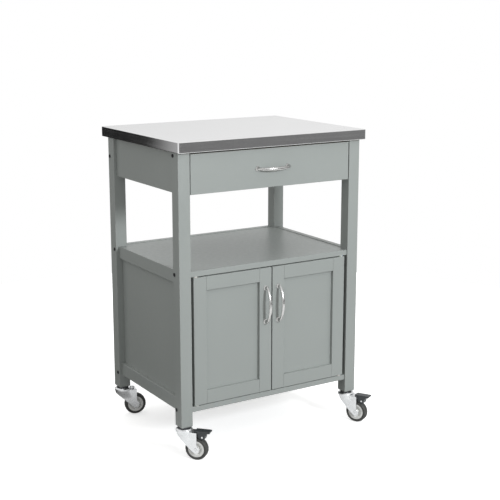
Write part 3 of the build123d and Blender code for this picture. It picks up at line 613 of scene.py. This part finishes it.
def build_tread():
    """Rows of diamond lugs round a wheel whose axle is Y, each row half a step on from the last."""
    tree = bpy.data.node_groups.new("Diamond tread", "GeometryNodeTree")
    face = tree.interface
    face.new_socket(name="Carcass", in_out="INPUT", socket_type="NodeSocketGeometry")
    for label, kind, value in (("Tread radius", "NodeSocketFloat", tread_radius),
                               ("Lugs round", "NodeSocketInt", 46), ("Rows", "NodeSocketInt", 4),
                               ("Row pitch", "NodeSocketFloat", 3.6 * mm),
                               ("Lug radius", "NodeSocketFloat", 1.9 * mm),
                               ("Lug height", "NodeSocketFloat", lug_height),
                               ("Rubber", "NodeSocketMaterial", None)):
        socket = face.new_socket(name=label, in_out="INPUT", socket_type=kind)
        if value is not None:
            socket.default_value = value
    face.new_socket(name="Tyre", in_out="OUTPUT", socket_type="NodeSocketGeometry")
    entry, end = tree.nodes.new("NodeGroupInput"), tree.nodes.new("NodeGroupOutput")
    socket = entry.outputs
    total = math_node(tree, "MULTIPLY", socket["Lugs round"], socket["Rows"])
    points = tree.nodes.new("GeometryNodePoints")
    tree.links.new(total, points.inputs["Count"])
    index = tree.nodes.new("GeometryNodeInputIndex").outputs[0]
    row = math_node(tree, "FLOOR", math_node(tree, "DIVIDE", math_node(tree, "ADD", index, 0.5),
                                             socket["Lugs round"]))
    stagger = math_node(tree, "MULTIPLY", math_node(tree, "MODULO", row, 2.0), 0.5)
    step = math_node(tree, "DIVIDE", 2 * pi, socket["Lugs round"])
    angle = math_node(tree, "MULTIPLY", math_node(tree, "ADD", index, stagger), step)
    middle_row = math_node(tree, "MULTIPLY", math_node(tree, "SUBTRACT", socket["Rows"], 1.0), 0.5)
    across = math_node(tree, "MULTIPLY", math_node(tree, "SUBTRACT", row, middle_row), socket["Row pitch"])
    outward = tree.nodes.new("ShaderNodeCombineXYZ")
    tree.links.new(math_node(tree, "COSINE", angle), outward.inputs["X"])
    tree.links.new(math_node(tree, "SINE", angle), outward.inputs["Z"])
    reach = tree.nodes.new("ShaderNodeVectorMath")
    reach.operation = "SCALE"
    tree.links.new(outward.outputs[0], reach.inputs[0])
    tree.links.new(socket["Tread radius"], reach.inputs["Scale"])
    shift = tree.nodes.new("ShaderNodeCombineXYZ")
    tree.links.new(across, shift.inputs["Y"])
    spot = tree.nodes.new("ShaderNodeVectorMath")
    tree.links.new(reach.outputs[0], spot.inputs[0])
    tree.links.new(shift.outputs[0], spot.inputs[1])
    tree.links.new(spot.outputs[0], points.inputs["Position"])
    stand = tree.nodes.new("FunctionNodeAlignRotationToVector")
    stand.axis = "Z"
    tree.links.new(outward.outputs[0], stand.inputs["Vector"])
    square = tree.nodes.new("FunctionNodeAlignRotationToVector")
    square.axis, square.pivot_axis = "X", "Z"
    tree.links.new(stand.outputs[0], square.inputs["Rotation"])
    square.inputs["Vector"].default_value = (0, 1, 0)
    lug = tree.nodes.new("GeometryNodeMeshCone")
    lug.inputs["Vertices"].default_value = 4
    tree.links.new(math_node(tree, "MULTIPLY", socket["Lug radius"], 0.72), lug.inputs["Radius Top"])
    tree.links.new(socket["Lug radius"], lug.inputs["Radius Bottom"])
    tree.links.new(socket["Lug height"], lug.inputs["Depth"])
    stamp = tree.nodes.new("GeometryNodeInstanceOnPoints")
    tree.links.new(points.outputs[0], stamp.inputs["Points"])
    tree.links.new(lug.outputs["Mesh"], stamp.inputs["Instance"])
    tree.links.new(square.outputs[0], stamp.inputs["Rotation"])
    both = tree.nodes.new("GeometryNodeJoinGeometry")
    tree.links.new(stamp.outputs[0], both.inputs[0])
    tree.links.new(socket["Carcass"], both.inputs[0])
    real = tree.nodes.new("GeometryNodeRealizeInstances")
    tree.links.new(both.outputs[0], real.inputs[0])
    coat = tree.nodes.new("GeometryNodeSetMaterial")
    tree.links.new(real.outputs[0], coat.inputs["Geometry"])
    tree.links.new(socket["Rubber"], coat.inputs["Material"])
    tree.links.new(coat.outputs[0], end.inputs[0])
    return tree


tread = build_tread()


def set_inputs(modifier, **values):
    """Sets a Geometry Nodes modifier's inputs by what they are called, through their identifiers."""
    for item in modifier.node_group.interface.items_tree:
        key = item.name.replace(" ", "_")
        if item.in_out == "INPUT" and key in values:
            modifier[item.identifier] = values[key]


def lathe_mesh(name, profile, sides):
    """A closed ring-shaped body spun about Y: profile is its whole outline as (radius, across)."""
    work = bmesh.new()
    rows = []
    for i in range(sides):
        angle = 2 * pi * i / sides
        rows.append([work.verts.new((r * cos(angle), a, r * sin(angle))) for r, a in profile])
    for i in range(sides):
        here, there = rows[i], rows[(i + 1) % sides]
        for j in range(len(profile)):
            after = (j + 1) % len(profile)
            work.faces.new((here[j], here[after], there[after], there[j]))
    bmesh.ops.recalc_face_normals(work, faces=work.faces)
    mesh = bpy.data.meshes.new(name)
    work.to_mesh(mesh)
    work.free()
    return mesh


def arc(centre, radius, start, stop, steps):
    """Points (radius, across) along a round corner, angles in degrees from the radial direction."""
    turns = [radians(start + (stop - start) * i / steps) for i in range(steps + 1)]
    return [(centre[0] + radius * cos(t), centre[1] + radius * sin(t)) for t in turns]


def tyre_outline():
    """Rounded tread, flat sidewalls and a small lip against the wheel centre."""
    top = arc((tread_radius - shoulder, wheel_half - shoulder), shoulder, 0, 90, 8)
    bottom = arc((tread_radius - shoulder, -wheel_half + shoulder), shoulder, -90, 0, 8)
    lip = [(ring_outer + 0.9 * mm, wheel_half), (ring_outer + 0.5 * mm, wheel_half - 0.7 * mm),
           (ring_outer, wheel_half - 0.9 * mm)]
    return bottom + top + lip + [(r, -a) for r, a in reversed(lip)]


def hub_outline():
    """Raised ring, sunk web with a step, and the boss round the rivet, mirrored across the wheel."""
    half = [(bore_r, boss_face), (boss_r - round_off, boss_face)]
    half += arc((boss_r - round_off, boss_face - round_off), round_off, 90, 0, 4)[1:]
    half += [(boss_r + 1.0 * mm, web_face + 0.5 * mm), (boss_r + 1.5 * mm, web_face),
             (ring_inner - 1.6 * mm, web_face), (ring_inner - 1.0 * mm, web_face + 0.4 * mm)]
    half += arc((ring_inner + round_off, ring_face - round_off), round_off, 180, 90, 5)
    half += arc((ring_outer - round_off, ring_face - round_off), round_off, 90, 0, 5)
    return half + [(r, -a) for r, a in reversed(half)]


for name in caster_names:
    place = caster_place(name)
    trail = (Vector(joints[name + "_wheel_spin"]["pos_m"]) - place.translation).xy.length
    at_axle = place @ Matrix.Translation((trail, 0, wheel_radius))
    blank = bpy.data.objects.new(name + "_carcass", lathe_mesh(name + "_carcass", tyre_outline(), tyre_sides))
    bpy.context.scene.collection.objects.link(blank)
    lugs = blank.modifiers.new("Diamond tread", "NODES")
    lugs.node_group = tread
    set_inputs(lugs, Rubber=rubber)
    tyre = baked(blank)
    tyre.transform(at_axle)
    keep_mesh(name + "_moulded_tyre", tyre, rubber, name + "_wheel", "tyre_rubber", name + "_tyre",
              crease=35)
    centre = lathe_mesh(name + "_centre", hub_outline(), hub_sides)
    centre.transform(at_axle)
    keep_mesh(name + "_wheel_centre", centre, ring_plastic, name + "_wheel", "wheel_grey", name + "_hub",
              crease=50)


# ---- Brake pedals ----
# Black moulded levers over the front tyres, pinned through a lug on the fork. The top is flat for a
# shoe, the tip is blunt, and a tooth underneath bites the tyre when the pedal is pressed.

pedal_plastic = finish_material("Black pedal moulding", (0.026, 0.030, 0.033, 1), (0.036, 0.041, 0.044, 1),
                                roughness=(0.36, 0.50), grain=1300.0, drift=70.0, peel=0.00005)
heel_low = Vector((33.5, -11, 80.8)) * mm
heel_high = Vector((46, 11, 85.1)) * mm
pedal_voxel, pedal_passes, pedal_facets = 0.4 * mm, 5, 0.5


def pedal_heel(work):
    """The pedal's flat top carried forward over the fork's crown."""
    block = bmesh.ops.create_cube(work, size=1.0)["verts"]
    bmesh.ops.scale(work, vec=heel_high - heel_low, verts=block)
    bmesh.ops.translate(work, vec=(heel_low + heel_high) / 2, verts=block)


for name in ("front_left", "front_right"):
    mesh = pressed_copy(name + "_brake_pedal", caster_place(name), pedal_voxel, pedal_passes, pedal_facets,
                        pedal_heel)
    keep_mesh(name + "_moulded_pedal", mesh, pedal_plastic, name + "_brake", "pedal_black",
              name + "_brake_pedal")


# ---- Studio ----
# A plain pale floor, one soft key in front, a weak light above, and an even surround. Polished metal sees
# the surround's low panels, some bright and some dark, which give the steel's edges their tone.

def soft_light(name, place, target, size, power, colour=(1, 1, 1)):
    data = bpy.data.lights.new(name, "AREA")
    data.shape, data.size, data.energy, data.color = "DISK", size, power, colour
    light = bpy.data.objects.new(name, data)
    light.location = place
    light.rotation_euler = (Vector(target) - Vector(place)).to_track_quat("-Z", "Y").to_euler()
    bpy.context.scene.collection.objects.link(light)


soft_light("Key", (0.38, -2.75, 1.5), (0, 0, 0.5), 0.5, 51, (0.97, 1.0, 1.02))
soft_light("Top", (0.2, 0.3, 2.6), (0, 0, 0.5), 1.6, 6)

world = bpy.data.worlds.new("Studio")
bpy.context.scene.world = world
world.use_nodes = True
tree = world.node_tree
tree.nodes.clear()
direction = tree.nodes.new("ShaderNodeSeparateXYZ")
tree.links.new(tree.nodes.new("ShaderNodeTexCoord").outputs["Generated"], direction.inputs[0])
ray = tree.nodes.new("ShaderNodeLightPath")
turn = math_node(tree, "DIVIDE", math_node(tree, "ARCTAN2", direction.outputs["X"], direction.outputs["Y"]),
                 2 * pi)
panels = tree.nodes.new("ShaderNodeValToRGB")
tree.links.new(math_node(tree, "ADD", turn, 0.5), panels.inputs["Fac"])
# Brightness of the low surround, from the front round by the left, back and right to the front again
low_surround = ((0.0, 0.15), (0.05, 0.20), (0.12, 0.9), (0.20, 1.2), (0.30, 0.9), (0.40, 0.45),
                (0.4238, 0.50), (0.4246, 0.02), (0.51, 0.02), (0.56, 0.5), (0.62, 0.9), (0.72, 0.6),
                (0.84, 0.26), (0.93, 0.20), (1.0, 0.15))
stops = panels.color_ramp.elements
for at, value in low_surround[1:-1]:
    stops.new(at)
for stop, (at, value) in zip(stops, low_surround):
    stop.position, stop.color = at, grey(value)
overhead = map_range(tree, direction.outputs["Z"], 0.02, 0.16, 0.0, 1.0)
mirrored_room = mixed_colour(tree, overhead, panels.outputs["Color"], grey(1.0))
ambient = map_range(tree, direction.outputs["Z"], -0.3, 0.2, 0.56, 0.80)
ambient_tone = mixed_colour(tree, ambient, grey(0.0), (1.0, 1.0, 0.985, 1))
glossy = math_node(tree, "MAXIMUM", ray.outputs["Is Glossy Ray"], ray.outputs["Is Transmission Ray"])
lit = mixed_colour(tree, glossy, ambient_tone, mirrored_room)
shown = mixed_colour(tree, ray.outputs["Is Camera Ray"], lit, grey(1.0))
surround = tree.nodes.new("ShaderNodeBackground")
tree.links.new(shown, surround.inputs["Color"])
tree.links.new(surround.outputs[0], tree.nodes.new("ShaderNodeOutputWorld").inputs[0])

floor_radius = 1.9
glow_from, glow_full = 0.5, 1.7
floor_bounce = 0.1
floor_seen = 0.8
mirror_tone, mirror_glow = 0.6, 0.45
mirror_full_y, mirror_end_y = -0.1, 0.3
work = bmesh.new()
bmesh.ops.create_circle(work, cap_ends=True, segments=96, radius=floor_radius)
floor_mesh = bpy.data.meshes.new("Floor")
work.to_mesh(floor_mesh)
work.free()
floor = bpy.data.objects.new("Floor", floor_mesh)
bpy.context.scene.collection.objects.link(floor)
pale = bpy.data.materials.new("Pale floor")
pale.use_nodes = True
tree = pale.node_tree
shader = tree.nodes["Principled BSDF"]
shader.inputs["Roughness"].default_value = 0.9
shader.inputs["Specular IOR Level"].default_value = 0.1
shader.inputs["Emission Color"].default_value = grey(1.0)
ray = tree.nodes.new("ShaderNodeLightPath")
place = tree.nodes.new("ShaderNodeTexCoord").outputs["Object"]
spot = tree.nodes.new("ShaderNodeSeparateXYZ")
tree.links.new(place, spot.inputs[0])
mirrored = math_node(tree, "MULTIPLY", ray.outputs["Is Glossy Ray"],
                     map_range(tree, spot.outputs["Y"], mirror_full_y, mirror_end_y, 1.0, 0.0))
base = math_node(tree, "ADD", math_node(tree, "MULTIPLY", ray.outputs["Is Camera Ray"], floor_seen),
                 math_node(tree, "MULTIPLY", mirrored, mirror_tone))
tree.links.new(math_node(tree, "ADD", base, floor_bounce), shader.inputs["Base Color"])
spread = tree.nodes.new("ShaderNodeVectorMath")
spread.operation = "LENGTH"
tree.links.new(place, spread.inputs[0])
glow = map_range(tree, spread.outputs["Value"], glow_from, glow_full, 0.55, 1.0)
seen = math_node(tree, "MULTIPLY", glow, ray.outputs["Is Camera Ray"])
tree.links.new(math_node(tree, "ADD", seen, math_node(tree, "MULTIPLY", mirrored, mirror_glow)),
               shader.inputs["Emission Strength"])
floor_mesh.materials.append(pale)

look_down, look_right = 12.558, 31.906
camera_data = bpy.data.cameras.new("Camera")
camera_data.lens, camera_data.sensor_width = 79.17, 36.0
camera = bpy.data.objects.new("Camera", camera_data)
camera.location = (-1.6090, -2.6808, 1.2083)
camera.rotation_euler = (radians(90 - look_down), 0, radians(-look_right))
bpy.context.scene.collection.objects.link(camera)
bpy.context.scene.camera = camera
bpy.context.scene.view_settings.view_transform = "Standard"
